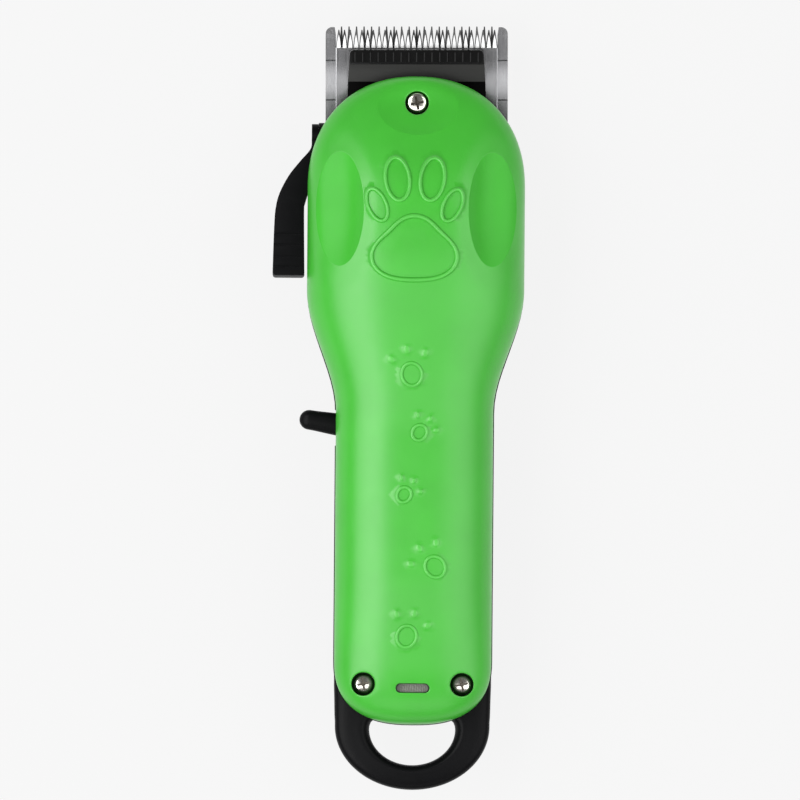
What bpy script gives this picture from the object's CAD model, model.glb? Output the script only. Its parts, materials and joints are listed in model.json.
"""The looks of the electric pet clipper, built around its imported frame.

Lengths are millimetres in the clipper's own frame (+Y to the blade tips, +Z out of the cover), and
mesh_piece turns them into metres. The body surface repeats the housing's own formulas, so that every
visual piece lies where its CAD node is.
"""

import json
from math import asin, copysign, cos, hypot, pi, radians, sin

import bmesh
import bpy
from mathutils import Matrix, Vector, kdtree
from mathutils.geometry import delaunay_2d_cdt


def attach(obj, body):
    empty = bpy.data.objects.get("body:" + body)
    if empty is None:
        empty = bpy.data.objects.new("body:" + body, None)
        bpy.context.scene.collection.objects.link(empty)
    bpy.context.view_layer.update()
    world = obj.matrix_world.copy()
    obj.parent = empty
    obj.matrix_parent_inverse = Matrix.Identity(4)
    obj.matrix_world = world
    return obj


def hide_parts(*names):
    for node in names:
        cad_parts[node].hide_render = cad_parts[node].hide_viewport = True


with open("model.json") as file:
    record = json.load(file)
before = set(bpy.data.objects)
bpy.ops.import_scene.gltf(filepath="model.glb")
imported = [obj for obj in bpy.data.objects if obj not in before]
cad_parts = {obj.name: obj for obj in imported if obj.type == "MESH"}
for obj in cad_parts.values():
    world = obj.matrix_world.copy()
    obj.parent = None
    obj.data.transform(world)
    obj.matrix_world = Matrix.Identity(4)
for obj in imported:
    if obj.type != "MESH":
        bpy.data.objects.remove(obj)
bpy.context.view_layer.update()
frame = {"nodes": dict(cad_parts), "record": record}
MM = 0.001

# Body outline and section
HANDLE_HALF_WIDTH, HEAD_HALF_WIDTH = 19.4, 26.8
NECK_Y = (-1.0, 29.0)
NOSE_Y, NOSE_LENGTH, NOSE_POWER = 54.0, 27.8, 2.2
TAIL_Y, TAIL_LENGTH, TAIL_POWER = -62.0, 16.0, 2.5
SEAM_Z, HALF_GAP, RIM = 19.0, 0.15, 1.2
COVER_WALL, CASE_WALL = 1.8, 2.0
CASE_GROWTH = 0.22

# Cover features: screws, light slot and finger hollows
REAR_SCREW, FRONT_SCREW = (12.15, -68.0), (0.0, 75.2)
REAR_SEAT_Z, FRONT_SEAT_Z = 21.9, 23.1
WELLS = (((-REAR_SCREW[0], REAR_SCREW[1]), REAR_SEAT_Z), (REAR_SCREW, REAR_SEAT_Z),
         (FRONT_SCREW, FRONT_SEAT_Z))
WELL_RADIUS, SHANK_RADIUS = 2.9, 1.5
LIGHT_Y, LIGHT_HALF, LIGHT_RADIUS = -68.9, 3.0, 1.15
HOLLOW_CENTRE, HOLLOW_SIZE, HOLLOW_DEPTH = (18.8, 49.0), (5.9, 14.1), 2.6
HOLLOW_SKEW = 0.45
SHOULDER, SHOULDER_DROP = 1.5, 0.4
THUMB_CENTRE, THUMB_SIZE, THUMB_DEPTH = (0.3, 74.4), (10.0, 7.1), 1.25

# Large paw; its toes: distance from its middle, y, size, turn in degrees, steps, line width
PAW_X, PAD_Y, PAD_SIZE, PAW_RAISE, PAW_SINK = -0.4, 38.6, (9.4, 8.2), 0.52, 0.2
PAW_TOES = ((4.3, 56.4, (2.95, 5.3), -8, 60, 0.62), (9.3, 50.0, (2.2, 4.2), -24, 50, 0.58))
# Small paw prints: x, y, pad radius, turn in degrees
PRINTS = ((-0.8, 8.3, 2.5, -11), (1.2, -6.0, 1.75, 38), (-2.5, -21.3, 1.7, 35), (5.3, -39.0, 2.4, -40),
          (-1.6, -56.2, 2.4, 19))

# Hanging loop
LOOP_Z = (13.0, 18.6)
LOOP_OUTER, LOOP_OUTER_Y = (19.1, 15.7), -78.5
LOOP_HOLE, LOOP_HOLE_Y = (10.6, 8.9), -79.2
# Section of the loop from its inner edge (0) to its outer edge (1), as shares of its half thickness
LOOP_TOP = ((0.0, 0.0), (0.012, 0.22), (0.04, 0.45), (0.08, 0.66), (0.125, 0.83), (0.17, 0.935),
            (0.21, 0.985), (0.25, 1.0), (0.30, 0.995), (0.38, 0.965), (0.5, 0.93), (0.62, 0.89),
            (0.74, 0.84), (0.84, 0.76), (0.91, 0.64), (0.96, 0.46), (0.99, 0.24))
LOOP_BOTTOM = ((1.0, 0.0), (0.985, 0.32), (0.94, 0.58), (0.86, 0.8), (0.75, 0.93), (0.6, 1.0), (0.4, 1.0),
               (0.25, 0.93), (0.14, 0.8), (0.06, 0.58), (0.015, 0.32))

# Charging inlet
INLET_Z, INLET_RADIUS = 8.6, 4.0

# Blade set: x across, u to the tips, w up from the lower blade
BLADE_ORIGIN, BLADE_TILT, BLADE_SKEW = (0.0, 62.0, 6.0), radians(6.0), radians(0.4)
BLADE_HALF, BLADE_U, BLADE_W = 22.5, (1.5, 32.5), (0.0, 2.3)
CUTTER_HALF, CUTTER_U, CUTTER_W = 19.95, (11.4, 31.9), (2.6, 4.2)
# Slope of the ground tops against the blade's plane, in degrees: front land, middle of the band, rear land
STEP_U = (14.5, 24.3)
FIXED_GRIND, CUTTER_GRIND = (-2.5, 1.0, -2.4), (-3.6, -0.6, -2.6)
BLOCK_U, BLOCK_W = (12.0, 27.35), (4.5, 8.6)
BLADE_SCREW_X, BLADE_SCREW_U = 9.0, 5

# Controls
LEVER_Y, LEVER_Z, LEVER_RISE = 67.3, 14.3, radians(9.0)
TOGGLE_X, TOGGLE_Y, TOGGLE_TILT = -15.0, -4.8, radians(9.0)


# -------------------- body surface

def smooth(start, end, value):
    """0 at start, 1 at end, with level ends."""
    s = min(1.0, max(0.0, (value - start) / (end - start)))
    return s * s * (3 - 2 * s)


def end_width(half, reach, power):
    """Half the width of a rounded end, from its root (0) to its tip (1)."""
    return half * (1 - min(1.0, reach) ** power) ** (1 / power)


def half_width(y):
    if y > NOSE_Y:
        return end_width(HEAD_HALF_WIDTH, (y - NOSE_Y) / NOSE_LENGTH, NOSE_POWER)
    if y < TAIL_Y:
        return end_width(HANDLE_HALF_WIDTH, (TAIL_Y - y) / TAIL_LENGTH, TAIL_POWER)
    return HANDLE_HALF_WIDTH + (HEAD_HALF_WIDTH - HANDLE_HALF_WIDTH) * smooth(*NECK_Y, y)


def spine_y(y):
    return min(NOSE_Y, max(TAIL_Y, y))


def ring_fraction(x, y):
    """0 on the spine and 1 on the outline."""
    if y > NOSE_Y:
        far, side, power = (y - NOSE_Y) / NOSE_LENGTH, abs(x) / HEAD_HALF_WIDTH, NOSE_POWER
    elif y < TAIL_Y:
        far, side, power = (TAIL_Y - y) / TAIL_LENGTH, abs(x) / HANDLE_HALF_WIDTH, TAIL_POWER
    else:
        return abs(x) / half_width(y)
    return (far ** power + side ** power) ** (1 / power)


def crown_height(y):
    return 13.0 + 4.8 * smooth(-8, 40, y) - 9.5 * smooth(44, 86, y) - 3.5 * smooth(-40, -80, y)


def belly_height(y):
    return 5.6 * smooth(36, 63, y) + 6.0 * smooth(63, 82, y) + 2.0 * smooth(-48, -78, y)


def cover_z(t, y):
    section = (1 - min(1.0, t) ** 2.6) ** (1 / 2.1)
    return SEAM_Z + HALF_GAP + RIM + (crown_height(y) - RIM) * section


def case_z(t, y):
    section = min(1.0, 1.03 * (1 - min(1.0, t) ** 5) ** (1 / 2.2))
    rim = SEAM_Z - HALF_GAP
    return rim - RIM - (rim - RIM - belly_height(y)) * section


def mirrored(points):
    """The left half of an outline that goes on from its right half."""
    return [(-x, y) for x, y in reversed(points)]


def superellipse(size, power, steps):
    """A quarter of a superellipse, from its side to its tip."""
    angles = [pi / 2 * i / steps for i in range(steps + 1)]
    return [(size[0] * max(0.0, cos(a)) ** (2 / power), size[1] * sin(a) ** (2 / power)) for a in angles]


def right_outline(nose_steps, body_steps, tail_steps, growth=0.0):
    """The right half of the body's outline from nose to tail, grown outwards along the handle only."""
    nose = superellipse((HEAD_HALF_WIDTH, NOSE_LENGTH), NOSE_POWER, nose_steps)
    tail = superellipse((HANDLE_HALF_WIDTH, TAIL_LENGTH), TAIL_POWER, tail_steps)
    points = [(x, NOSE_Y + far) for x, far in reversed(nose)]
    for i in range(1, body_steps):
        y = NOSE_Y + (TAIL_Y - NOSE_Y) * i / body_steps
        points.append((half_width(y), y))
    points += [(x, TAIL_Y - far) for x, far in tail]
    grown = []
    for x, y in points:
        amount = growth * (1 - smooth(8, 30, y))
        reach = max(0.0, TAIL_Y - y)
        grown.append((x * (1 + amount / HANDLE_HALF_WIDTH), y - amount * reach / TAIL_LENGTH))
    return grown


# -------------------- meshes

def closed(count):
    """Index pairs round a closed line."""
    return [(i, (i + 1) % count) for i in range(count)]


def fill(outline):
    """Points and faces that fill a closed outline."""
    filled = delaunay_2d_cdt([Vector(p) for p in outline], closed(len(outline)), [], 1, 1e-7)
    return filled[0], filled[2]


def mesh_piece(name, source):
    """An object from a bmesh or (points, faces) in millimetres."""
    mesh = bpy.data.meshes.new(name)
    if isinstance(source, tuple):
        mesh.from_pydata([tuple(p) for p in source[0]], [], source[1])
    else:
        source.to_mesh(mesh)
        source.free()
    mesh.transform(Matrix.Scale(MM, 4))
    obj = bpy.data.objects.new(name, mesh)
    bpy.context.scene.collection.objects.link(obj)
    return obj


def modify(obj, kind, **settings):
    """Put one modifier on a body and apply it."""
    modifier = obj.modifiers.new("shape", kind)
    for key, value in settings.items():
        setattr(modifier, key, value)
    bpy.context.view_layer.update()
    graph = bpy.context.evaluated_depsgraph_get()
    mesh = bpy.data.meshes.new_from_object(obj.evaluated_get(graph))
    obj.modifiers.clear()
    obj.data = mesh
    return obj


def boolean(obj, operation, tools):
    """Change a body by its tools, one after another, and remove the tools."""
    for tool in tools:
        modify(obj, 'BOOLEAN', operation=operation, solver='EXACT', object=tool)
        bpy.data.objects.remove(tool, do_unlink=True)


def cut(obj, *tools):
    boolean(obj, 'DIFFERENCE', tools)


def join(obj, *tools):
    boolean(obj, 'UNION', tools)


def thicken(obj, wall, clamp=0.0):
    """Give a skin its wall, on its inner side."""
    return modify(obj, 'SOLIDIFY', thickness=wall * MM, offset=-1.0, use_even_offset=True,
                  use_quality_normals=True, thickness_clamp=clamp)


def bevel(obj, width, segments=3, angle=35.0):
    return modify(obj, 'BEVEL', width=width * MM, segments=segments, limit_method='ANGLE',
                  angle_limit=radians(angle))


def shade(obj, angle):
    """Smooth shading, with sharp edges where faces meet at more than an angle."""
    obj.data.shade_smooth()
    obj.data.set_sharp_from_angle(angle=radians(angle))


def finish_mesh(obj, angle=32.0):
    """Weld, face outwards and shade a finished mesh."""
    bm = bmesh.new()
    bm.from_mesh(obj.data)
    bmesh.ops.remove_doubles(bm, verts=bm.verts, dist=0.000002)
    bmesh.ops.dissolve_degenerate(bm, edges=bm.edges, dist=0.000001)
    bmesh.ops.recalc_face_normals(bm, faces=bm.faces)
    bm.to_mesh(obj.data)
    bm.free()
    shade(obj, angle)
    return obj


def box(low, high, turn=None):
    bm = bmesh.new()
    size, middle = Vector(high) - Vector(low), (Vector(high) + Vector(low)) / 2
    bmesh.ops.create_cube(bm, size=1.0, matrix=(turn or Matrix()) @ Matrix.Translation(middle)
                          @ Matrix.Diagonal((*size, 1.0)))
    return mesh_piece("tool", bm)


def rod(start, end, radius, sides=48, turn=None, end_radius=None):
    start, end = Vector(start), Vector(end)
    place = (turn or Matrix()) @ Matrix.Translation((start + end) / 2)
    place = place @ (end - start).to_track_quat('Z', 'Y').to_matrix().to_4x4()
    bm = bmesh.new()
    bmesh.ops.create_cone(bm, cap_ends=True, segments=sides, radius1=radius,
                          radius2=radius if end_radius is None else end_radius,
                          depth=(end - start).length, matrix=place)
    return mesh_piece("tool", bm)


def arc(centre, radii, start, end, steps):
    angles = [radians(start + (end - start) * i / steps) for i in range(steps + 1)]
    return [(centre[0] + radii[0] * cos(a), centre[1] + radii[1] * sin(a)) for a in angles]


def plate(outline, low, high, turn=None):
    """A flat closed outline thickened from low to high."""
    flat, faces = fill(outline)
    bm = bmesh.new()
    verts = [bm.verts.new((p.x, p.y, low)) for p in flat]
    for face in faces:
        bm.faces.new([verts[i] for i in face])
    bmesh.ops.dissolve_limit(bm, angle_limit=0.001, verts=bm.verts, edges=bm.edges)
    bmesh.ops.recalc_face_normals(bm, faces=bm.faces)
    top = bmesh.ops.extrude_face_region(bm, geom=bm.faces[:])
    moved = [v for v in top["geom"] if isinstance(v, bmesh.types.BMVert)]
    bmesh.ops.translate(bm, verts=moved, vec=(0, 0, high - low))
    bmesh.ops.recalc_face_normals(bm, faces=bm.faces)
    if turn is not None:
        bmesh.ops.transform(bm, matrix=turn, verts=bm.verts)
    return mesh_piece("tool", bm)


def turned(profile, place, sides=56):
    """A profile of (radius, height) points, from the axis at the top to the axis at the bottom."""
    points, faces, rows = [], [], []
    for radius, height in profile:
        if radius < 1e-6:
            rows.append([len(points)] * sides)
            points.append(place @ Vector((0, 0, height)))
            continue
        rows.append(list(range(len(points), len(points) + sides)))
        for i in range(sides):
            a = 2 * pi * i / sides
            points.append(place @ Vector((radius * cos(a), radius * sin(a), height)))
    for near, far in zip(rows, rows[1:]):
        for i, j in closed(sides):
            face = list(dict.fromkeys((near[i], far[i], far[j], near[j])))
            if len(face) > 2:
                faces.append(face)
    return mesh_piece("tool", (points, faces))


def loft(sections):
    """A closed body through closed sections that have the same number of points."""
    count = len(sections[0])
    points = [p for section in sections for p in section]
    faces = []
    for a in range(0, len(points) - count, count):
        b = a + count
        faces += [(a + i, a + j, b + j, b + i) for i, j in closed(count)]
    faces.append(tuple(reversed(range(count))))
    faces.append(tuple(range(len(points) - count, len(points))))
    return mesh_piece("tool", (points, faces))


def placed(spot, angle, axis):
    return Matrix.Translation(spot) @ Matrix.Rotation(angle, 4, axis)


def blade_frame():
    return placed(BLADE_ORIGIN, BLADE_SKEW, 'Z') @ Matrix.Rotation(BLADE_TILT, 4, 'X')


def lay_in_blade_frame(obj):
    obj.data.transform(Matrix.Scale(MM, 4) @ blade_frame() @ Matrix.Scale(1 / MM, 4))


# -------------------- materials

class Look:
    """A Principled material and its helper nodes. Textures follow the object's own coordinates."""

    def __init__(self, name, colour, roughness, metallic=0.0, **sockets):
        self.material = bpy.data.materials.new(name)
        self.material.use_nodes = True
        tree = self.material.node_tree
        self.node, self.link = tree.nodes.new, tree.links.new
        self.shader = tree.nodes["Principled BSDF"]
        self.place = self.node("ShaderNodeTexCoord").outputs["Object"]
        values = {"Base Color": (*colour, 1.0), "Roughness": roughness, "Metallic": metallic}
        values.update({key.replace("_", " "): value for key, value in sockets.items()})
        for key, value in values.items():
            self.shader.inputs[key].default_value = value

    def noise(self, scale, detail=2.0, stretch=(1.0, 1.0, 1.0)):
        """Noise with about `scale` features to the metre, stretched along the axes."""
        mapping = self.node("ShaderNodeMapping")
        mapping.inputs["Scale"].default_value = stretch
        texture = self.node("ShaderNodeTexNoise")
        texture.inputs["Scale"].default_value = scale
        texture.inputs["Detail"].default_value = detail
        self.link(self.place, mapping.inputs["Vector"])
        self.link(mapping.outputs["Vector"], texture.inputs["Vector"])
        return texture.outputs["Fac"]

    def vary_colour(self, source, low, high):
        ramp = self.node("ShaderNodeValToRGB")
        for stop, position, colour in zip(ramp.color_ramp.elements, (0.3, 0.7), (low, high)):
            stop.position = position
            stop.color = (*colour, 1.0)
        self.link(source, ramp.inputs["Fac"])
        self.link(ramp.outputs["Color"], self.shader.inputs["Base Color"])

    def vary_roughness(self, source, low, high):
        spread = self.node("ShaderNodeMapRange")
        for name, value in (("From Min", 0.3), ("From Max", 0.7), ("To Min", low), ("To Max", high)):
            spread.inputs[name].default_value = value
        self.link(source, spread.inputs["Value"])
        self.link(spread.outputs["Result"], self.shader.inputs["Roughness"])

    def bump(self, source, height, strength=1.0):
        """Relief from a texture, with its height in millimetres."""
        made = self.node("ShaderNodeBump")
        made.inputs["Strength"].default_value = strength
        made.inputs["Distance"].default_value = height * MM
        self.link(source, made.inputs["Height"])
        self.link(made.outputs["Normal"], self.shader.inputs["Normal"])


def shaded(colour, amount):
    return tuple(c * amount for c in colour)


def plastic(name, colour, roughness, grain, **sockets):
    """Moulded plastic: a fine etched grain, uneven gloss and a trace of uneven colour."""
    look = Look(name, colour, roughness, **sockets)
    look.vary_colour(look.noise(90.0, 3.0), shaded(colour, 0.96), shaded(colour, 1.04))
    look.vary_roughness(look.noise(420.0, 4.0), roughness - 0.03, roughness + 0.03)
    look.bump(look.noise(5200.0, 2.0), grain)
    return look.material


def steel(name, colour, roughness, grain, along=(1.0, 0.012, 1.0), **sockets):
    """Metal with fine brushing lines along one direction."""
    look = Look(name, colour, roughness, 1.0, **sockets)
    lines = look.noise(4200.0, 3.0, along)
    look.vary_colour(lines, shaded(colour, 0.95), shaded(colour, 1.04))
    look.vary_roughness(look.noise(2600.0, 2.0, along), roughness - 0.02, roughness + 0.02)
    look.bump(lines, grain, 0.5)
    return look.material


GREEN = (0.044, 0.375, 0.027)
LOOKS = {
    "green_shell": plastic("green_plastic", GREEN, 0.33, 0.004, Specular_IOR_Level=0.54),
    "black_shell": plastic("black_case", (0.0035, 0.0035, 0.004), 0.36, 0.005, Specular_IOR_Level=0.07),
    "lever_black": plastic("black_lever", (0.0035, 0.0035, 0.004), 0.40, 0.005, Specular_IOR_Level=0.07),
    "block_black": plastic("black_block", (0.018, 0.018, 0.017), 0.50, 0.005, Specular_IOR_Level=0.22),
    "black_trim": plastic("black_trim", (0.008, 0.008, 0.008), 0.55, 0.006),
    "blade_steel": steel("brushed_steel", (0.36, 0.36, 0.37), 0.24, 0.0004),
    "screw_chrome": steel("bright_plating", (0.86, 0.83, 0.75), 0.16, 0.0003),
    "light_window": plastic("frosted_window", (0.17, 0.18, 0.15), 0.22, 0.004),
    "frame_plastic": plastic("grey_plastic", (0.05, 0.05, 0.055), 0.5, 0.008),
    "motor_steel": steel("plated_steel", (0.58, 0.56, 0.52), 0.3, 0.0006, (1.0, 1.0, 0.05)),
    "tab_nickel": steel("nickel_strip", (0.62, 0.59, 0.52), 0.3, 0.0006),
    "cell_sleeve": plastic("cell_sleeve", (0.02, 0.09, 0.35), 0.32, 0.002),
    "foam_pad": plastic("foam", (0.02, 0.02, 0.02), 0.9, 0.05),
    "board_green": plastic("circuit_lacquer", (0.01, 0.11, 0.03), 0.35, 0.01),
    "wire_red": plastic("red_insulation", (0.50, 0.012, 0.012), 0.42, 0.003),
    "wire_black": plastic("black_insulation", (0.012, 0.012, 0.012), 0.42, 0.003),
    "winding_copper": steel("copper_winding", (0.62, 0.27, 0.12), 0.35, 0.01, (0.2, 1.0, 1.0)),
    "hub_brass": steel("turned_brass", (0.66, 0.45, 0.16), 0.28, 0.0008),
    "arm_nylon": plastic("natural_nylon", (0.72, 0.70, 0.62), 0.42, 0.004),
}
GREEN_WELL = plastic("green_well", shaded(GREEN, 0.16), 0.5, 0.004, Specular_IOR_Level=0.2)
GREEN_BEAD = plastic("green_line", (0.072, 0.43, 0.053), 0.32, 0.003)
GREEN_HOLLOW = plastic("green_hollow", GREEN, 0.36, 0.006, Specular_IOR_Level=0.20)
RECESS_STEEL = steel("shaded_recess", (0.16, 0.145, 0.12), 0.3, 0.0003)
TEETH_STEEL = steel("ground_teeth", (0.97, 0.97, 0.97), 0.45, 0.0004)
TIP_STEEL = steel("tooth_tips", (0.07, 0.07, 0.07), 0.40, 0.0004)
BLOCK_GLOSS = plastic("ribbed_front", (0.004, 0.004, 0.004), 0.30, 0.004, Specular_IOR_Level=0.12)
BLOCK_DEEP = plastic("deep_rear", (0.001, 0.001, 0.001), 0.55, 0.004, Specular_IOR_Level=0.03)
FLANK_STEEL = steel("tooth_flanks", (0.05, 0.05, 0.05), 0.38, 0.0004)


def dress(obj, name, slot, body, *nodes, materials=None):
    """Name a finished piece, give it its finish, and put it on its body in place of CAD nodes."""
    obj.name = name
    obj.data.name = name
    slots, finishes = obj.data.materials, materials or (LOOKS[slot],)
    while len(slots) < len(finishes):
        slots.append(None)
    for i, finish in enumerate(finishes):
        slots[i] = finish
    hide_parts(*nodes)
    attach(obj, body)


# -------------------- cover

def inside(ring, x, y):
    crossings = 0
    for (ax, ay), (bx, by) in zip(ring, ring[1:] + ring[:1]):
        if (ay > y) != (by > y) and x < ax + (bx - ax) * (y - ay) / (by - ay):
            crossings += 1
    return crossings % 2 == 1


class Plan:
    """Points and feature lines of the cover seen from above, each with its height above the plain surface."""

    def __init__(self):
        self.points, self.lifts, self.edges, self.hollows = [], [], [], []

    def loop(self, outline, lift):
        first = len(self.points)
        self.points += outline
        self.lifts += [lift] * len(outline)
        self.edges += [(first + i, first + j) for i, j in closed(len(outline))]

    def crease(self, outline, lift=0.0):
        first = len(self.points)
        self.points += outline
        self.lifts += [lift] * len(outline)
        self.edges += [(first + i, first + i + 1) for i in range(len(outline) - 1)]

    def bead(self, curve, count, height, width, sink=0.0):
        """A raised line along a closed curve(angle, offset), with the face inside it a little lower."""
        for k in range(-3, 4):
            lift = height * cos(pi / 2 * (abs(k) / 3) ** 1.6)
            if k < 0:
                lift -= sink * (k / 3) ** 2
            self.loop(around(curve, count, width * k / 3), lift)
        self.hollows.append((around(curve, count, -width), -sink))

    def field_lift(self, x, y):
        """The height of a plain point: low inside a closed line, and 0 elsewhere."""
        for ring, lift in self.hollows:
            if abs(x - ring[0][0]) < 20 and abs(y - ring[0][1]) < 20 and inside(ring, x, y):
                return lift
        return 0.0


def stretch(x, y, inward=False):
    """Spread the steep edge of the surface out evenly, or undo that."""
    t = ring_fraction(x, y)
    if t < 1e-9:
        return x, y
    factor = sin(min(1.0, t) * pi / 2) / t if inward else asin(min(1.0, t)) * 2 / pi / t
    centre = spine_y(y)
    return x * factor, centre + (y - centre) * factor


def around(curve, count, offset=0.0):
    return [curve(2 * pi * i / count, offset) for i in range(count)]


def oval(centre, size, turn=0.0):
    """A closed curve(angle, offset) around an ellipse, offset outwards."""
    def curve(a, offset):
        x, y = size[0] * cos(a), size[1] * sin(a)
        nx, ny = cos(a) / size[0], sin(a) / size[1]
        length = hypot(nx, ny)
        x, y = x + nx / length * offset, y + ny / length * offset
        c, s = cos(turn), sin(turn)
        return centre[0] + x * c - y * s, centre[1] + x * s + y * c
    return curve


def pad_shape(centre, size):
    """A paw's main pad: wide at its heel, with a shallow waist to each side and a rounded top."""
    def curve(a, offset):
        swell = 1 + 0.07 * cos(2 * a) - 0.10 * sin(3 * a) + 0.03 * cos(4 * a)
        x, y = (size[0] * swell + offset) * cos(a), (size[1] * swell + offset) * sin(a)
        return centre[0] + x, centre[1] + y
    return curve


def stadium(half_length, radius, centre_y, steps=14):
    return (arc((half_length, centre_y), (radius, radius), -90, 90, steps)
            + arc((-half_length, centre_y), (radius, radius), 90, 270, steps))


def add_large_paw(plan):
    """The raised outline of a paw: a pad and four toes."""
    plan.bead(pad_shape((PAW_X, PAD_Y), PAD_SIZE), 110, PAW_RAISE, 0.66, PAW_SINK)
    for side in (-1, 1):
        for x, y, size, turn, steps, line in PAW_TOES:
            toe = oval((PAW_X + x * side, y), size, radians(turn * side))
            plan.bead(toe, steps, PAW_RAISE, line, PAW_SINK)


def add_prints(plan):
    """Small paw prints: an outlined pad and three solid toes each."""
    for x, y, size, turn in PRINTS:
        plan.bead(oval((x, y), (size, 1.12 * size), -radians(turn)), 44, 0.32, 0.52, 0.12)
        for spread in (-43, 0, 43):
            way = radians(90 - turn - spread)
            toe = (x + 2.5 * size * cos(way), y + 2.5 * size * sin(way))
            for k, lift in enumerate((0.24, 0.22, 0.12, 0.0)):
                share = 0.55 + 0.45 * k
                edge = oval(toe, (0.20 * size * share, 0.26 * size * share), radians(-turn - spread))
                plan.loop(around(edge, 16), lift)


def add_hollow_edges(plan):
    """Close lines along the edges of the finger hollows and the thumb rest keep them crisp."""
    for side in (-1, 1):
        edge = oval((HOLLOW_CENTRE[0] * side, HOLLOW_CENTRE[1]), HOLLOW_SIZE)
        for offset in (-0.16, 0.0, 0.16):
            plan.loop(around(edge, 130, offset), 0.0)
    for offset in (-0.14, 0.0, 0.14):
        plan.crease(arc(THUMB_CENTRE, (THUMB_SIZE[0] + offset, THUMB_SIZE[1] + offset), 170, 370, 60))


def add_openings(plan):
    """Rounded rims of the screw wells and the light slot: offsets from the opening, and lifts."""
    for well, _ in WELLS:
        for offset, lift in ((0.0, -0.35), (0.05, -0.17), (0.15, -0.05), (0.35, 0.0)):
            plan.loop(arc(well, (WELL_RADIUS + offset,) * 2, 0, 360, 56)[:-1], lift)
    for offset, lift in ((0.0, -0.25), (0.04, -0.12), (0.12, -0.03), (0.25, 0.0)):
        plan.loop(stadium(LIGHT_HALF, LIGHT_RADIUS + offset, LIGHT_Y), lift)


def plan_cover():
    """All feature lines of the cover, and how many of the points lie on its rim."""
    plan = Plan()
    right = right_outline(nose_steps=54, body_steps=117, tail_steps=29)
    rim = right[:-1] + mirrored(right)[:-1]
    plan.loop(rim, 0.0)
    add_large_paw(plan)
    add_prints(plan)
    add_hollow_edges(plan)
    add_openings(plan)
    return plan, len(rim)


def in_light_slot(x, y):
    return hypot(max(0.0, abs(x) - LIGHT_HALF), y - LIGHT_Y) < LIGHT_RADIUS


def hollow_fraction(x, y):
    """0 in the middle of a finger hollow and 1 at its edge."""
    return hypot((abs(x) - HOLLOW_CENTRE[0]) / HOLLOW_SIZE[0], (y - HOLLOW_CENTRE[1]) / HOLLOW_SIZE[1])


def scoop(x, y):
    """How far the finger hollows and the thumb rest lower the surface."""
    across = (abs(x) - HOLLOW_CENTRE[0]) / HOLLOW_SIZE[0]
    side = hollow_fraction(x, y)
    front = hypot((x - THUMB_CENTRE[0]) / THUMB_SIZE[0], (y - THUMB_CENTRE[1]) / THUMB_SIZE[1])
    depth = HOLLOW_DEPTH * (1 - side ** 2) * (1 - HOLLOW_SKEW * across) if side < 1 else 0.0
    depth += SHOULDER_DROP * (1 - smooth(1.0, SHOULDER, side)) * smooth(0.0, 14.0, abs(x))
    if front < 1:
        depth += THUMB_DEPTH * (1 - front ** 2) ** (1.0 + 0.8 * smooth(0, 5, y - THUMB_CENTRE[1]))
    return depth


def add_field(plan, spacing=0.85):
    """Fill the space between feature lines with an even field of points."""
    tree = kdtree.KDTree(len(plan.points))
    for i, (x, y) in enumerate(plan.points):
        tree.insert((*stretch(x, y), 0.0), i)
    tree.balance()
    y, odd = TAIL_Y - TAIL_LENGTH, False
    while y < NOSE_Y + NOSE_LENGTH:
        x = -HEAD_HALF_WIDTH + (spacing / 2 if odd else 0.0)
        while x < HEAD_HALF_WIDTH:
            if ring_fraction(x, y) < 0.985 and tree.find((x, y, 0.0))[2] > 0.5 * spacing:
                plan.points.append(stretch(x, y, inward=True))
                plan.lifts.append(plan.field_lift(*plan.points[-1]))
            x += spacing
        y += spacing * 0.866
        odd = not odd


def face_outwards(bm, side=1):
    """Turn all faces so that the one furthest up (side 1) or down (side -1) faces that way."""
    bmesh.ops.recalc_face_normals(bm, faces=bm.faces)
    far = max(bm.faces, key=lambda f: side * f.calc_center_median().z)
    if side * far.normal.z < 0:
        bmesh.ops.reverse_faces(bm, faces=bm.faces)


def cover_surface(plan, rim_count):
    """The cover's outer skin, open at its wells and its light slot, with a finish for each face."""
    flat = [Vector(stretch(x, y)) for x, y in plan.points]
    places, _, faces, origins, _, _ = delaunay_2d_cdt(flat, plan.edges, [], 1, 1e-6, True)
    points, lifts = [], []
    for place, origin in zip(places, origins):
        x, y = stretch(place.x, place.y, inward=True)
        lifts.append(plan.lifts[origin[0]] if origin else 0.0)
        points.append((x, y, cover_z(ring_fraction(x, y), y) - scoop(x, y) + lifts[-1]))
    on_rim = [min(origin, default=rim_count) < rim_count for origin in origins]

    bm = bmesh.new()
    verts = [bm.verts.new(p) for p in points]
    for face in faces:
        x, y = (sum(points[i][k] for i in face) / len(face) for k in (0, 1))
        in_well = any(hypot(x - well[0], y - well[1]) < WELL_RADIUS * 0.999 for well, _ in WELLS)
        across_neck = ring_fraction(x, y) > 1 and all(on_rim[i] for i in face)
        if in_well or in_light_slot(x, y) or across_neck:
            continue
        made_face = bm.faces.new([verts[i] for i in face])
        if min(lifts[i] for i in face) > 0.1:
            made_face.material_index = 2
        elif hollow_fraction(x, y) < 1:
            made_face.material_index = 3
    bmesh.ops.delete(bm, geom=[v for v in bm.verts if not v.link_faces], context='VERTS')
    face_outwards(bm)
    return bm


def sink(bm, edges, steps, centre=None):
    """Extrude a boundary down to each step's height, and round a centre to its radius as well."""
    for height, radius in steps:
        grown = bmesh.ops.extrude_edge_only(bm, edges=edges)["geom"]
        for face in (g for g in grown if isinstance(g, bmesh.types.BMFace)):
            face.material_index = 0 if centre is None else 1
        edges = [g for g in grown if isinstance(g, bmesh.types.BMEdge)]
        for v in {v for e in edges for v in e.verts}:
            v.co.z = height
            if centre is not None:
                out = Vector((v.co.x - centre[0], v.co.y - centre[1])).normalized() * radius
                v.co.x, v.co.y = centre[0] + out.x, centre[1] + out.y
    return edges


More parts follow.
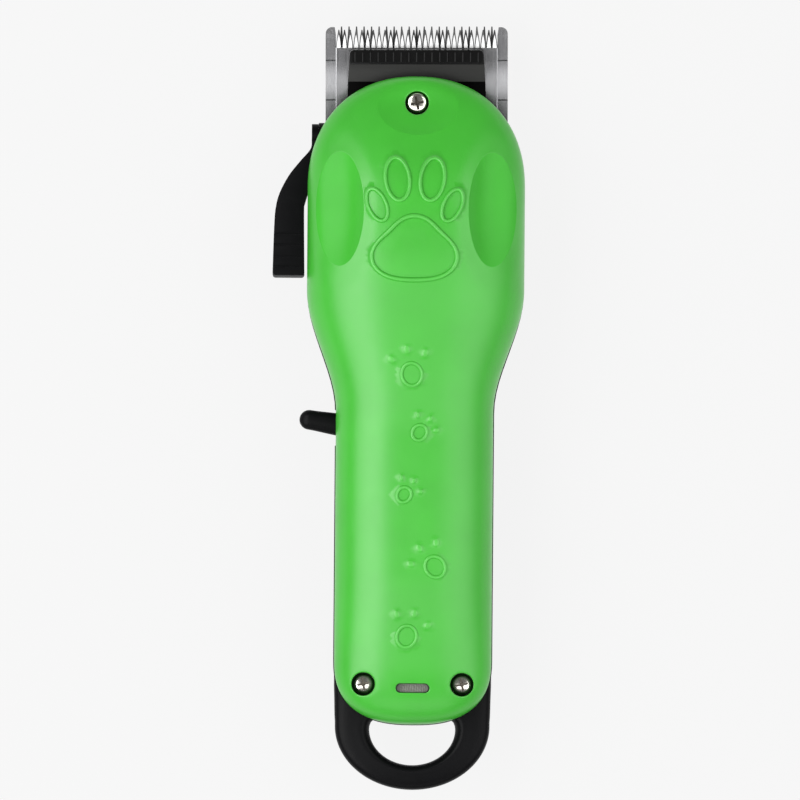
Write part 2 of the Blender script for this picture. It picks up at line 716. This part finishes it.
def near_well(edge, well):
    x, y = (sum(v.co[k] for v in edge.verts) / 2 for k in (0, 1))
    return hypot(x - well[0], y - well[1]) < WELL_RADIUS * 1.02


def build_cover():
    plan, rim_count = plan_cover()
    add_field(plan)
    bm = cover_surface(plan, rim_count)
    boundary = [e for e in bm.edges if e.is_boundary]
    for well, seat in WELLS:
        floor = seat - 0.3
        steps = ((floor + 0.25, WELL_RADIUS), (floor, WELL_RADIUS - 0.2), (floor, SHANK_RADIUS))
        sink(bm, [e for e in boundary if near_well(e, well)], steps, well)

    seam, upright, chamfer, chamfer_width = SEAM_Z + HALF_GAP, 0.7, 0.25, 0.12
    rim = [e for e in boundary if all(abs(ring_fraction(v.co.x, v.co.y) - 1) < 0.004 for v in e.verts)]
    foot = sink(bm, rim, ((seam + upright, None), (seam + chamfer, None)))
    lip = bmesh.ops.extrude_edge_only(bm, edges=foot)["geom"]
    for v in (g for g in lip if isinstance(g, bmesh.types.BMVert)):
        centre = Vector((0.0, spine_y(v.co.y), v.co.z))
        v.co -= (v.co - centre).normalized() * chamfer_width
        v.co.z = seam
    face_outwards(bm)

    cover = thicken(mesh_piece("cover", bm), COVER_WALL, 1.0)
    shade(cover, 50)
    dress(cover, "cover_shell", "green_shell", "housing", "top_cover",
          materials=(LOOKS["green_shell"], GREEN_WELL, GREEN_BEAD, GREEN_HOLLOW))


# -------------------- case and loop

def case_rows(rim_z, rings=22):
    """Rows of points from the spine to the outline and down the upright rim, on the right side."""
    rows = []
    for x, y in right_outline(26, 44, 22, CASE_GROWTH):
        centre = spine_y(y)
        row = []
        for i in range(rings + 1):
            t = sin(pi / 2 * i / rings)
            there = centre + (y - centre) * t
            row.append((x * t, there, case_z(t, there)))
        rows.append(row + [(x, y, rim_z)])
    return rows


def case_shell(rows):
    bm = bmesh.new()
    for side in (1, -1):
        made = [[bm.verts.new((x * side, y, z)) for x, y, z in row] for row in rows]
        for near, far in zip(made, made[1:]):
            for a, b, c, d in zip(near, near[1:], far[1:], far):
                bm.faces.new((a, b, c, d) if side > 0 else (d, c, b, a))
    bmesh.ops.remove_doubles(bm, verts=bm.verts, dist=0.002)
    face_outwards(bm, -1)
    return thicken(mesh_piece("shell", bm), CASE_WALL)


def loop_stations():
    """Pairs of inner and outer points along the loop, from its left root round to its right root."""
    root = [((-9.0, -73.0), (-19.4, -65.0)), ((-9.0, -75.0), (-19.4, -68.5)),
            ((-9.1, -76.3), (-19.3, -71.5)), ((-9.6, -77.0), (-19.25, -74.0)),
            ((-10.2, -77.6), (-19.2, -76.0)), ((-10.5, -78.4), (-19.1, -77.4))]
    hole = arc((0, LOOP_HOLE_Y), LOOP_HOLE, 180, 360, 64)
    rim = arc((0, LOOP_OUTER_Y), LOOP_OUTER, 180, 360, 64)
    return root + list(zip(hole, rim)) + list(zip(*(mirrored(side) for side in zip(*root))))


def build_loop():
    """A rounded strap with a ridge round its inner edge, thicker in the middle than at its rims."""
    middle, half = sum(LOOP_Z) / 2, (LOOP_Z[1] - LOOP_Z[0]) / 2
    sections = []
    for inner, outer in loop_stations():
        section = []
        for profile, side in ((LOOP_TOP, 1), (LOOP_BOTTOM, -1)):
            section += [(inner[0] + (outer[0] - inner[0]) * v, inner[1] + (outer[1] - inner[1]) * v,
                         middle + half * height * side) for v, height in profile]
        sections.append(section)
    return finish_mesh(loft(sections))


def deck_outline(start_y, inset):
    """The case's flat nose under the cover, from start_y to the tip."""
    tip = [(x * (1 - inset / HEAD_HALF_WIDTH), y - inset) for x, y in right_outline(40, 40, 10)]
    deck = [(half_width(start_y) - inset, start_y)] + [p for p in reversed(tip) if p[1] > start_y + 0.2]
    return deck + mirrored([p for p in deck if p[0] > 0.01])


def build_case():
    rim_z = SEAM_Z - HALF_GAP
    case = case_shell(case_rows(rim_z))
    inlet_collar = rod((0, -78.0, INLET_Z), (0, -74.2, INLET_Z), INLET_RADIUS + 1.3, 64)
    lever_wall = box((-24.7, 52.0, 9.4), (-21.3, 64.5, 18.7))
    lever_boss = rod((-24.4, LEVER_Y, LEVER_Z), (-21.0, LEVER_Y, LEVER_Z), 2.95, 64)
    nose_deck = plate(deck_outline(71.8, 1.0), 17.6, rim_z)
    join(case, build_loop(), inlet_collar, lever_wall, lever_boss, nose_deck)

    tilt = blade_frame()
    blade_bay = box((-35.0, 0.6, -25.0), (35.0, 45.0, 2.9), tilt)
    cutter_bay = box((-21.5, 9.5, 0.0), (21.5, 45.0, 5.1), tilt)
    block_bay = box((-18.8, 60.0, 6.0), (18.8, 90.0, 17.6))
    cam_bay = box((-21.6, 60.0, 6.0), (-18.0, 71.7, 22.0))
    lever_pocket = box((-32.0, 53.0, 8.0), (-24.18, 73.0, 22.0))
    lever_bore = rod((-27.0, LEVER_Y, LEVER_Z), (-19.0, LEVER_Y, LEVER_Z), 2.7, 40)
    toggle_slot = box((-24.0, -9.4, 13.2), (-16.9, -0.6, 22.0))
    inlet = rod((0, -90.0, INLET_Z), (0, -70.0, INLET_Z), INLET_RADIUS, 64)
    screw_hole = rod((*FRONT_SCREW, 17.0), (*FRONT_SCREW, 25.0), 1.25, 32)
    cut(case, blade_bay, cutter_bay, block_bay, cam_bay, lever_pocket, lever_bore, toggle_slot, inlet,
        screw_hole)
    finish_mesh(case, 30)
    dress(case, "case_shell", "black_shell", "housing", "bottom_case")


# -------------------- blades

def arch(half, tip_half, power, s):
    """Half the width of a tooth at s, from its root (0) to its tip (1)."""
    return tip_half + (half - tip_half) * (1 - min(1.0, s) ** power)


def tooth_row(count, pitch, root, tip, shape, steps=8):
    """Points round every tooth from right to left, with the roots between them.

    Shape: half a tooth's width at its root and tip, the curve's power, and where it meets the tip width.
    """
    half, tip_half, power, end = shape
    points = []
    for i in range(count):
        centre = ((count - 1) / 2 - i) * pitch
        flank = [(arch(half, tip_half, power, j / steps / end), root + (tip - root) * j / steps)
                 for j in range(steps + 1)]
        points += [(centre + x, u) for x, u in flank] + [(centre - x, u) for x, u in reversed(flank)]
    return points


def comb_solid(body, rows, low, top_height):
    """A comb between its wide lower outline and its narrower upper outline, which rises to top_height(u)."""
    lower, upper = ([*body, *row, *tail] for row, tail in rows)
    solid = bmesh.new()
    for outline, height in ((lower, lambda u: low), (upper, top_height)):
        flat, faces = fill(outline)
        verts = [solid.verts.new((p.x, p.y, height(p.y))) for p in flat]
        for face in faces:
            solid.faces.new([verts[i] for i in face])
    base = [solid.verts.new((x, u, low)) for x, u in lower]
    top = [solid.verts.new((x, u, top_height(u))) for x, u in upper]
    for i, j in closed(len(base)):
        solid.faces.new((base[i], base[j], top[j], top[i]))
    bmesh.ops.remove_doubles(solid, verts=solid.verts, dist=1e-5)
    bmesh.ops.recalc_face_normals(solid, faces=solid.faces)
    return mesh_piece("tool", solid)


def slice_across(obj, start, end, cuts):
    """Cut edges into the body at even steps so that it can bend."""
    bm = bmesh.new()
    bm.from_mesh(obj.data)
    for i in range(cuts):
        u = (start + (end - start) * i / cuts) * MM
        geometry = bm.verts[:] + bm.edges[:] + bm.faces[:]
        bmesh.ops.bisect_plane(bm, geom=geometry, plane_co=(0, u, 0), plane_no=(0, 1, 0), dist=1e-7)
    bm.to_mesh(obj.data)
    bm.free()


def grind_slope(grind, u):
    """The slope at u: flat lands to the front and the rear, and a hollow band between the two steps."""
    front, middle, rear = grind
    share = (STEP_U[1] - u) / (STEP_U[1] - STEP_U[0])
    side = front if share < 0.5 else rear
    if share < 0 or share > 1:
        return side
    return side + (middle - side) * sin(pi * share)


def grind_depth(grind, u, step=0.25):
    """How far the ground top lies under the blade's flat top, added up from the front step."""
    start = STEP_U[1]
    way = step if u > start else -step
    count = int(abs(u - start) / step + 0.5)
    return -sum(radians(grind_slope(grind, start + way * (i + 0.5))) * way for i in range(count))


def grind_top(obj, low, high, grind):
    """Shape a blade's top to its ground bands, in the blade's own plane."""
    for v in obj.data.vertices:
        share = (v.co.z / MM - low) / (high - low)
        u = max(10.0, v.co.y / MM)
        v.co.z -= grind_depth(grind, u) * max(0.0, share) * MM


def steel_piece(obj, name, node, body, root, bright_to, side_x):
    """Finish a blade. Its teeth have ground tops up to bright_to, dark tips and dark flanks."""
    tops = TEETH_STEEL if body == "cutter" else TIP_STEEL
    finishes = (LOOKS["blade_steel"], tops, TIP_STEEL, FLANK_STEEL)
    for face in obj.data.polygons:
        u, x = face.center.y / MM, abs(face.center.x) / MM
        in_step = body != "cutter" and min(abs(u - step) for step in STEP_U) < 0.2
        if u > root and x < side_x:
            if face.normal.z > 0.95:
                face.material_index = 1 if u < bright_to else 2
            elif face.normal.z > -0.5:
                face.material_index = 3
        elif in_step and 0.0 < face.normal.z < 0.9:
            face.material_index = 3
    lay_in_blade_frame(obj)
    shade(obj, 14)
    dress(obj, name, "blade_steel", body, node, materials=finishes)


def build_fixed_blade():
    """The lower comb: two side strips, and pointed teeth between them."""
    (back, tip), (low, high), strip, root = BLADE_U, BLADE_W, 2.6, 25.6
    inner = BLADE_HALF - strip
    corner = arc((BLADE_HALF - 1.6, tip - 1.7), (1.6, 1.7), 0, 90, 10)
    right = corner + [(inner + 0.35, tip), (inner + 0.05, tip - 2.0), (inner, root)]
    left = mirrored(right)
    body = [(-BLADE_HALF, back), (BLADE_HALF, back)] + right
    teeth, pitch, tooth_tip = 21, 1.857, tip + 0.15
    lower = tooth_row(teeth, pitch, root, tooth_tip, (0.76, 0.28, 1.6, 1.0))
    upper = tooth_row(teeth, pitch, root, tooth_tip, (0.44, 0.13, 1.25, 1.0))
    blade = comb_solid(body, ((lower, left), (upper, left)), low, lambda u: high)
    slice_across(blade, 2.0, 32.0, 24)
    grind_top(blade, low, high, FIXED_GRIND)
    under = placed((0, 22.0, 0), radians(9.0), 'X')
    cut(blade, box((-30, 0, -6), (30, 16, 0), under))
    for u in STEP_U:
        level = high - grind_depth(FIXED_GRIND, u)
        cut(blade, rod((-24.0, u, level + 0.08), (24.0, u, level + 0.08), 0.18, 12))
    for side in (-1, 1):
        x, u = BLADE_SCREW_X * side, BLADE_SCREW_U
        cut(blade, rod((x, u, -1), (x, u, 1.3), 2.7), rod((x, u, -1), (x, u, 4), 1.5, 32))
    steel_piece(blade, "lower_blade", "fixed_blade", "blade_carriage", root + 0.1, bright_to=0.0,
                side_x=inner)


def build_cutter():
    """The moving comb: ground tops that narrow to a point before the dark tips of the teeth."""
    (back, tip), (low, high), root, bright_to = CUTTER_U, CUTTER_W, 27.55, 30.8
    body = [(-CUTTER_HALF, back), (CUTTER_HALF, back), (CUTTER_HALF, root)]
    end = (bright_to - root) / (tip - root)
    teeth, pitch = 28, 1.425
    lower = tooth_row(teeth, pitch, root, tip, (0.69, 0.12, 1.4, 1.0))
    upper = tooth_row(teeth, pitch, root, tip, (0.48, 0.015, 1.6, end))
    far = [(-CUTTER_HALF, root)]

    def top_height(u):
        return high - 0.75 * smooth(bright_to - 0.6, tip + 0.8, u)
    cutter = comb_solid(body, ((lower, far), (upper, far)), low, top_height)
    for side in (-1, 1):
        edge = placed(((CUTTER_HALF - 0.15) * side, 0, high), radians(28) * side, 'Y')
        cut(cutter, box((min(0, 3 * side), 5, 0), (max(0, 3 * side), root, 2), edge))
    slice_across(cutter, 12.0, 27.0, 14)
    grind_top(cutter, low, high, CUTTER_GRIND)
    steel_piece(cutter, "moving_blade", "cutter_blade", "cutter", root + 0.05, bright_to, CUTTER_HALF + 1)


def build_block():
    """The cutter's carrier: a ribbed front band, a groove, a flat band and a low rear behind it."""
    low, high = BLOCK_W
    rear, front = BLOCK_U
    line, step, corner = 24.0, 19.6, 1.1
    right = [(17.1, rear), (17.05, 17.0), (16.8, 22.0)]
    right += arc((16.5 - corner, front - corner), (corner, corner), 0, 90, 12)
    block = plate(right + mirrored(right), low, high)
    slope = placed((0, line, high), radians(-7.0), 'X')
    front_band = box((-20, 0.0, -0.25), (20, 10, 4), slope)
    groove = box((-20, line - 0.15, high - 0.6), (20, line + 0.15, high + 2))
    rear_step = box((-20, 9.0, low + 2.0), (20, step, high + 2))
    fork_slot = box((-2.55, 9.0, low + 0.7), (2.55, step, high + 2))
    rear_left, rear_right = (box((x, 9.0, low + 1.2), (x + 14.5, 15.3, high + 2)) for x in (-20, 5.5))
    cut(block, front_band, groove, rear_step, fork_slot, rear_left, rear_right)
    bevel(block, 0.14, 3, 30)
    for i in range(-8, 9):
        join(block, rod((i * 1.9, 0.5, -0.36), (i * 1.9, 2.8, -0.36), 0.3, 12, slope))
    for face in block.data.polygons:
        u, level = face.center.y / MM, face.center.z / MM
        face.material_index = 1 if u > line else 2 if level < low + 2.1 else 0
    lay_in_blade_frame(block)
    finish_mesh(block, 30)
    dress(block, "cutter_carrier", "block_black", "cutter", "cutter_block",
          materials=(LOOKS["block_black"], BLOCK_GLOSS, BLOCK_DEEP))


# -------------------- screws and light window

def screw(name, node, body, seat, direction, radius, height, shank, length):
    """A pan-head screw with a tapered cross recess; the seat is under its head."""
    place = Matrix.Translation(seat) @ Vector(direction).to_track_quat('Z', 'Y').to_matrix().to_4x4()
    head = [(f / 10, 1 - 0.20 * (f / 10) ** 2) for f in range(9)]
    head += [(0.87, 0.83), (0.93, 0.76), (0.975, 0.64), (1.0, 0.48), (1.0, 0.10), (0.97, 0.0)]
    profile = [(radius * r, height * h) for r, h in head]
    profile += [(shank, 0.0), (shank, -length + 0.5), (shank * 0.3, -length), (0.0, -length)]
    obj = turned(profile, place)
    reach, slot = radius * 0.66, radius * 0.11
    for a in (12.0, 102.0):
        turn = place @ Matrix.Rotation(radians(a), 4, 'Z')
        cut(obj, box((-reach, -slot, height * 0.30), (reach, slot, height * 1.5), turn))
    cut(obj, rod((0, 0, height * 0.12), (0, 0, height * 1.3), radius * 0.12, 24, place, radius * 0.30))
    bevel(obj, radius * 0.035, 2, 30)
    back = place.inverted()
    for face in obj.data.polygons:
        spot = back @ (face.center / MM)
        reached = hypot(spot.x, spot.y) / radius
        if reached < 0.7 and height * 0.1 < spot.z < height * (0.93 - 0.2 * reached ** 2):
            face.material_index = 1
    finish_mesh(obj, 32)
    dress(obj, name, "screw_chrome", body, node, materials=(LOOKS["screw_chrome"], RECESS_STEEL))


def build_screws():
    """The head's radius and height, then the shank's radius and length, follow each screw's place."""
    up, (x, y) = (0, 0, 1), REAR_SCREW
    screw("front_screw", "cover_screw_front", "housing", (*FRONT_SCREW, FRONT_SEAT_Z), up,
          2.5, 1.65, 0.95, 4.8)
    for side, tail in ((-1, "left"), (1, "right")):
        screw(f"rear_screw_{tail}", f"cover_screw_rear_{tail}", "housing", (x * side, y, REAR_SEAT_Z), up,
              2.35, 1.6, 0.95, 9.5)
    tilt = blade_frame()
    down = tilt.to_3x3() @ Vector((0, 0, -1))
    for side, tail in ((-1, "left"), (1, "right")):
        screw(f"blade_screw_{tail}_head", f"blade_screw_{tail}", "blade_carriage",
              tilt @ Vector((BLADE_SCREW_X * side, BLADE_SCREW_U, 1.0)), down, 2.3, 1.0, 1.15, 4.4)
    screw("lever_screw_head", "lever_screw", "taper_lever", (-25.3, LEVER_Y, LEVER_Z), (-1, 0, 0),
          1.9, 0.6, 0.85, 3.9)


def build_window():
    """A frosted light window with fine upright ribs, on its flange under the cover."""
    lens = plate(stadium(2.85, 1.0, LIGHT_Y), 25.2, 26.9)
    pitch, reach, top = 0.42, 0.8, 26.88
    ribs = [rod((i * pitch, LIGHT_Y - reach, top), (i * pitch, LIGHT_Y + reach, top), 0.17, 12)
            for i in range(-7, 8)]
    join(lens, *ribs, box((-4.9, LIGHT_Y - 1.6, 25.0), (4.9, LIGHT_Y + 1.8, 25.5)))
    finish_mesh(lens, 35)
    dress(lens, "light_window", "light_window", "housing", "led_window")


# -------------------- lever and toggle

def build_lever():
    """The taper lever: a curved arm with a ribbed thumb paddle and a round hub."""
    rise = placed((0, LEVER_Y, LEVER_Z), -LEVER_RISE, 'X')
    outer_way = [(-25.9, 66.0), (-26.2, 63.4), (-28.75, 60.3), (-31.5, 56.7), (-33.7, 52.4), (-34.65, 48.7),
                 (-35.0, 43.9), (-35.3, 32.5)]
    inner_way = [(-27.45, 32.5), (-27.65, 48.0), (-27.45, 50.2), (-26.85, 52.4), (-25.9, 56.5), (-24.7, 60.5),
                 (-24.2, 63.4), (-24.2, 66.0)]
    heel = [(-35.1, 32.0), (-34.7, 31.8), (-28.05, 31.8), (-27.65, 32.0)]
    path = eased(outer_way) + heel + eased(inner_way)
    lever = plate([(x, y - LEVER_Y) for x, y in path], -2.1, 2.1, rise)
    bevel(lever, 0.75, 4, 50)
    def axle(start, end, radius, sides):
        return rod((start, LEVER_Y, LEVER_Z), (end, LEVER_Y, LEVER_Z), radius, sides)
    join(lever, axle(-25.9, -24.2, 2.65, 64))
    cut(lever, axle(-27.0, -25.0, 2.15, 48), axle(-27.0, -23.0, 1.25, 32))
    for y in (42.1, 39.4, 36.4, 33.9):
        join(lever, rod((-35.0, y - LEVER_Y, 1.98), (-28.0, y - LEVER_Y, 1.98), 0.26, 16, rise))
    finish_mesh(lever, 32)
    dress(lever, "taper_lever_arm", "lever_black", "taper_lever", "taper_lever")


def eased(points, steps=6):
    """A smooth curve through its points."""
    way = [Vector(p) for p in points]
    way = [2 * way[0] - way[1]] + way + [2 * way[-1] - way[-2]]
    made = []
    for a, b, c, d in zip(way, way[1:], way[2:], way[3:]):
        for i in range(steps):
            s = i / steps
            made.append(0.5 * (2 * b + (c - a) * s + (2 * a - 5 * b + 4 * c - d) * s ** 2
                               + (3 * b - a - 3 * c + d) * s ** 3))
    made.append(way[-2])
    return [(p.x, p.y) for p in made]


def rounded_section(half, up):
    """A closed section that is a little fuller than an ellipse."""
    def curve(a, _):
        across, rise = (copysign(abs(v) ** 0.8, v) for v in (cos(a), sin(a)))
        return half * across, up * rise
    return around(curve, 32)


def build_toggle():
    """The power toggle: a rounded neck with a ball end, and its fork inside the case."""
    rest = placed((TOGGLE_X, TOGGLE_Y, 16.2), -TOGGLE_TILT, 'Z')
    ball_x, ball, thick, neck, neck_length, steps = -11.1, 2.44, 2.2, 2.75, 12.2, 14
    sections = []
    for s in range(2 * steps + 1):
        if s <= steps:
            a = radians(90 * s / steps)
            x, half, up = ball_x - ball * cos(a), ball * sin(a), thick * sin(a)
        else:
            f = (s - steps) / steps
            x, up = ball_x + neck_length * f, thick
            half = ball + (neck - ball) * smooth(0.0, 0.62, f) - 0.4 * smooth(0.7, 1.0, f)
        section = rounded_section(max(half, 0.02), max(up, 0.02))
        sections.append([rest @ Vector((x, across, rise)) for across, rise in section])
    toggle = loft(sections)
    prong = [(-0.5, -2.3), (2.0, -2.2), (4.4, -2.4), (7.2, -2.4), (7.2, -1.4), (4.9, -1.4)]
    fork = plate(prong + [(x, -y) for x, y in reversed(prong)], -2.1, 2.1, rest)
    join(toggle, fork)
    cut(toggle, rod((0, 0, -4), (0, 0, 4), 1.3, 32, rest))
    finish_mesh(toggle, 35)
    dress(toggle, "power_toggle_knob", "lever_black", "power_toggle", "power_toggle")


# -------------------- carried-over nodes

def dress_cad_nodes():
    """Every CAD node that stays in view gets the finish of its record slot."""
    for subpart in frame["record"]["subparts"]:
        node = frame["nodes"][subpart["node"]]
        if node.hide_render:
            continue
        slot = subpart["material_slot"]
        node.data.materials.clear()
        node.data.materials.append(LOOKS[slot])


# -------------------- stage

def soft_panel(name, turn, tilt, size, strength, distance=0.95):
    """A rectangular softbox aimed at the clipper, tilted from straight overhead towards a compass turn.

    Its strength is its brightness as a mirror would show it.
    """
    turn, tilt = radians(turn), radians(tilt)
    way = Vector((sin(tilt) * cos(turn), sin(tilt) * sin(turn), cos(tilt)))
    data = bpy.data.lights.new(name, 'AREA')
    data.shape = 'RECTANGLE'
    data.size, data.size_y = size
    data.energy = strength * size[0] * size[1] * pi
    obj = bpy.data.objects.new(name, data)
    obj.location = Vector((0.0, 0.0, 0.02)) + way * distance
    obj.rotation_mode = 'QUATERNION'
    obj.rotation_quaternion = (-way).to_track_quat('-Z', 'Y')
    bpy.context.scene.collection.objects.link(obj)


def build_stage():
    reach, height = 3000, -0.4
    corners = [(x * reach, y * reach, height) for x, y in ((-1, -1), (1, -1), (1, 1), (-1, 1))]
    floor = mesh_piece("floor", (corners, [(0, 1, 2, 3)]))
    look = Look("pale_floor", (0.04, 0.04, 0.04), 0.9, Specular_IOR_Level=0.0)
    look.shader.inputs["Emission Color"].default_value = (1.0, 1.0, 1.0, 1.0)
    look.shader.inputs["Emission Strength"].default_value = 0.868
    floor.data.materials.append(look.material)

    world = bpy.data.worlds.new("studio")
    bpy.context.scene.world = world
    world.use_nodes = True
    background = world.node_tree.nodes["Background"]
    background.inputs["Color"].default_value = (1.0, 1.0, 1.0, 1.0)
    background.inputs["Strength"].default_value = 0.12

    for tilt, strength in ((27, 4.7), (42, 4.2), (57, 3.2)):
        soft_panel("left_softbox", 180, tilt, (1.3, 0.26), strength)
    for tilt, strength in ((27, 1.8), (42, 2.3), (57, 1.8), (72, 0.8)):
        soft_panel("right_softbox", 0, tilt, (1.3, 0.26), strength)
    soft_panel("rear_top_softbox", 270, 12, (0.9, 0.22), 2.0)
    soft_panel("rear_softbox", 270, 60, (0.9, 0.4), 1.3)
    bpy.context.scene.view_settings.view_transform = 'Standard'


def build_camera():
    """Straight down on the cover from far off, turned a little to match the clipper's lie."""
    view_width, distance, plane_z = 0.1973, 5.0, 0.019
    camera = bpy.data.cameras.new("camera")
    camera.sensor_width = 36.0
    camera.lens = camera.sensor_width * distance / view_width
    camera.clip_start, camera.clip_end = 0.05, 20.0
    obj = bpy.data.objects.new("camera", camera)
    obj.location = (-0.00363, 0.0020, plane_z + distance)
    obj.rotation_euler = (0.0, 0.0, radians(0.45))
    bpy.context.scene.collection.objects.link(obj)
    bpy.context.scene.camera = obj


build_cover()
build_case()
build_fixed_blade()
build_cutter()
build_block()
build_screws()
build_window()
build_lever()
build_toggle()
dress_cad_nodes()
build_stage()
build_camera()
